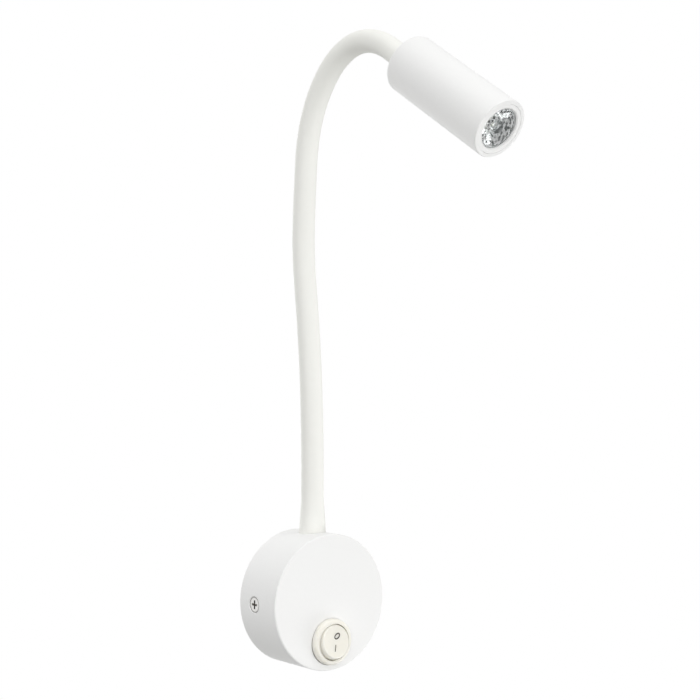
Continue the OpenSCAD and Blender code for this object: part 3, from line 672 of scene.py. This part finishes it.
def on_cable(along):
    """Point of the cable: a soft bend from the driver's outlet to the neck's axis, then the neck itself."""
    middle, direction = on_neck(along)
    share = min(max((along - cable_start) / (cable_rise - cable_start), 0.0), 1.0)
    shifted = middle + cable_shift * (1 - ease(share)) * neck_out
    ease_slope = 6 * share * (1 - share)
    swing = ease_slope / (cable_rise - cable_start) * cable_shift
    return shifted, (direction - swing * neck_out).normalized()


cable_tubes = neck_tube("led_cable", cable_start, neck_length + cable_in_head, cable_ring_step, cable_sides,
                        lambda along: cable_radius, lambda along: cable_core,
                        grey_pvc, on_cable)
for tube in cable_tubes:
    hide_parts("led_cable")


# Sleeve
# One soft white silicone tube pulled over the hose from the cup to the head. Its foot widens over the
# lower collar and its end over the upper one.

# moulded silicone: a slightly warm, matt white that takes a soft sheen at its edges
silicone, tree, place = new_finish("moulded_white_silicone")
mottle = add_node(tree, "ShaderNodeTexNoise", {"Scale": grains_per_metre(2.5), "Detail": 3.0},
                  {"Vector": place})
cloud = add_node(tree, "ShaderNodeMix", {6: linear("#F4F4EF"), 7: linear("#F7F7F2")},
                 {"Factor": mottle.outputs["Fac"]}, data_type="RGBA")
shine = add_node(tree, "ShaderNodeMapRange", {"To Min": 0.5, "To Max": 0.64},
                 {"Value": mottle.outputs["Fac"]})
relief = add_node(tree, "ShaderNodeBump", {"Strength": 0.1, "Distance": 0.00004},
                  {"Height": mottle.outputs["Fac"]})
shader = add_node(tree, "ShaderNodeBsdfPrincipled", {"IOR": 1.41},
                  {"Base Color": cloud.outputs[2], "Roughness": shine.outputs[0],
                   "Normal": relief.outputs[0]})
add_node(tree, "ShaderNodeOutputMaterial", links={"Surface": shader.outputs[0]})

sleeve_radius = 0.00585
sleeve_bore = 0.005
sleeve_ring_step = 0.0016
sleeve_sides = 48
foot_radius = 0.00695
foot_height = 0.02
foot_bore = 0.0062
foot_seat = 0.0112
foot_step = 0.0014
end_radius = 0.00625
end_taper = 0.007
end_collar = 0.005
end_bore = 0.0056
end_seat = 0.0072
end_step = 0.0008


def sleeve_outside(along):
    """Radius of the sleeve, with its wide foot and end."""
    foot = (foot_radius - sleeve_radius) * (1 - ease(along / foot_height))
    end = (end_radius - sleeve_radius) * ease((along - neck_length + end_collar + end_taper) / end_taper)
    return sleeve_radius + foot + end


def sleeve_inside(along):
    """Radius of the sleeve's bore, stepped over the two collars."""
    foot = (foot_bore - sleeve_bore) * (1 - ease((along - foot_seat) / foot_step))
    end = (end_bore - sleeve_bore) * ease((along - neck_length + end_seat + end_step) / end_step)
    return sleeve_bore + foot + end


sleeve_tubes = neck_tube("sleeve", 0.0, neck_length, sleeve_ring_step, sleeve_sides,
                         sleeve_outside, sleeve_inside, silicone)
for number, tube in enumerate(sleeve_tubes, start=1):
    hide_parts(f"sleeve_{number:02d}")
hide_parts("sleeve_13")


# Spot head
# A turned aluminium tube with a powder coat and a rounded rear. A bare aluminium slug inside takes the
# heat of the emitter on its board, and a screwed ring holds the lens in a grey holder at the front.
dress(powder_coat, "head_shell", "lens_ring")
dress(nickel, "board_screws")

# turned aluminium, uncoated: pale metal, clouded by the tool
bare_aluminium, tree, place = new_finish("turned_bare_aluminium")
marks = add_node(tree, "ShaderNodeTexNoise", {"Scale": grains_per_metre(0.7)}, {"Vector": place})
cloud = add_node(tree, "ShaderNodeMix", {6: linear("#BFC0C2"), 7: linear("#D2D3D4")},
                 {"Factor": marks.outputs["Fac"]}, data_type="RGBA")
shine = add_node(tree, "ShaderNodeMapRange", {"To Min": 0.24, "To Max": 0.4},
                 {"Value": marks.outputs["Fac"]})
shader = add_node(tree, "ShaderNodeBsdfPrincipled", {"Metallic": 1.0},
                  {"Base Color": cloud.outputs[2], "Roughness": shine.outputs[0]})
add_node(tree, "ShaderNodeOutputMaterial", links={"Surface": shader.outputs[0]})
dress(bare_aluminium, "heat_slug")

# printed white solder mask: half matt, slightly uneven over the weave of the board
solder_mask, tree, place = new_finish("printed_white_solder_mask")
weave = add_node(tree, "ShaderNodeTexNoise", {"Scale": grains_per_metre(0.5)}, {"Vector": place})
cloud = add_node(tree, "ShaderNodeMix", {6: linear("#ECECE8"), 7: linear("#F2F2EE")},
                 {"Factor": weave.outputs["Fac"]}, data_type="RGBA")
shader = add_node(tree, "ShaderNodeBsdfPrincipled", {"Roughness": 0.4, "IOR": 1.5},
                  {"Base Color": cloud.outputs[2]})
add_node(tree, "ShaderNodeOutputMaterial", links={"Surface": shader.outputs[0]})
dress(solder_mask, "led_board")

# phosphor in clear silicone: pale yellow while the emitter is off
phosphor, tree, place = new_finish("cast_phosphor_silicone")
grit = add_node(tree, "ShaderNodeTexNoise", {"Scale": grains_per_metre(0.3)}, {"Vector": place})
cloud = add_node(tree, "ShaderNodeMix", {6: linear("#E6E1CB"), 7: linear("#EEEBDB")},
                 {"Factor": grit.outputs["Fac"]}, data_type="RGBA")
shader = add_node(tree, "ShaderNodeBsdfPrincipled", {"Roughness": 0.3, "IOR": 1.41},
                  {"Base Color": cloud.outputs[2]})
add_node(tree, "ShaderNodeOutputMaterial", links={"Surface": shader.outputs[0]})
dress(phosphor, "led_emitter")

# moulded polycarbonate: mid grey, half matt
grey_polycarbonate, tree, place = new_finish("moulded_grey_polycarbonate")
tooth = add_node(tree, "ShaderNodeTexNoise", {"Scale": grains_per_metre(0.6)}, {"Vector": place})
cloud = add_node(tree, "ShaderNodeMix", {6: linear("#7B7D7C"), 7: linear("#868887")},
                 {"Factor": tooth.outputs["Fac"]}, data_type="RGBA")
shader = add_node(tree, "ShaderNodeBsdfPrincipled", {"Roughness": 0.4, "IOR": 1.58},
                  {"Base Color": cloud.outputs[2]})
add_node(tree, "ShaderNodeOutputMaterial", links={"Surface": shader.outputs[0]})
dress(grey_polycarbonate, "lens_holder")

head_back, head_direction = on_neck(neck_length)
lens_clear_radius = 0.0094
lens_frost_radius = 0.0100
frost_roughness = 0.6
frost_clarity = 0.5

# moulded clear acrylic: glossy, with shallow cells that break up what shows through it and spread the
# spot, and a flange that the mould leaves frosted
clear_acrylic, tree, place = new_finish("moulded_clear_acrylic")
flow = add_node(tree, "ShaderNodeTexNoise", {"Scale": grains_per_metre(4.0)}, {"Vector": place})
shine = add_node(tree, "ShaderNodeMapRange", {"To Min": 0.0, "To Max": 0.06},
                 {"Value": flow.outputs["Fac"]})
from_axis = off_axis(tree, place, head_back, head_direction)
frost = add_node(tree, "ShaderNodeMapRange",
                 {"From Min": lens_clear_radius, "From Max": lens_frost_radius, "To Max": frost_roughness},
                 {"Value": from_axis})
roughness = add_node(tree, "ShaderNodeMath", links={0: shine.outputs[0], 1: frost.outputs[0]},
                     operation="MAXIMUM")
clarity = add_node(tree, "ShaderNodeMapRange",
                   {"From Min": lens_clear_radius, "From Max": lens_frost_radius,
                    "To Min": 1.0, "To Max": frost_clarity},
                   {"Value": from_axis})
cells = add_node(tree, "ShaderNodeTexVoronoi", {"Scale": grains_per_metre(1.8)}, {"Vector": place},
                 feature="SMOOTH_F1")
relief = add_node(tree, "ShaderNodeBump", {"Strength": 0.3, "Distance": 0.0006},
                  {"Height": cells.outputs["Distance"]})
tint = add_node(tree, "ShaderNodeMix", {6: linear("#D8DDDD"), 7: linear("#FDFEFE")},
                {"Factor": frost.outputs[0]}, data_type="RGBA")
shader = add_node(tree, "ShaderNodeBsdfPrincipled", {"IOR": 1.49},
                  {"Base Color": tint.outputs[2], "Roughness": roughness.outputs[0],
                   "Transmission Weight": clarity.outputs[0], "Normal": relief.outputs[0]})
add_node(tree, "ShaderNodeOutputMaterial", links={"Surface": shader.outputs[0]})
dress(clear_acrylic, "lens")
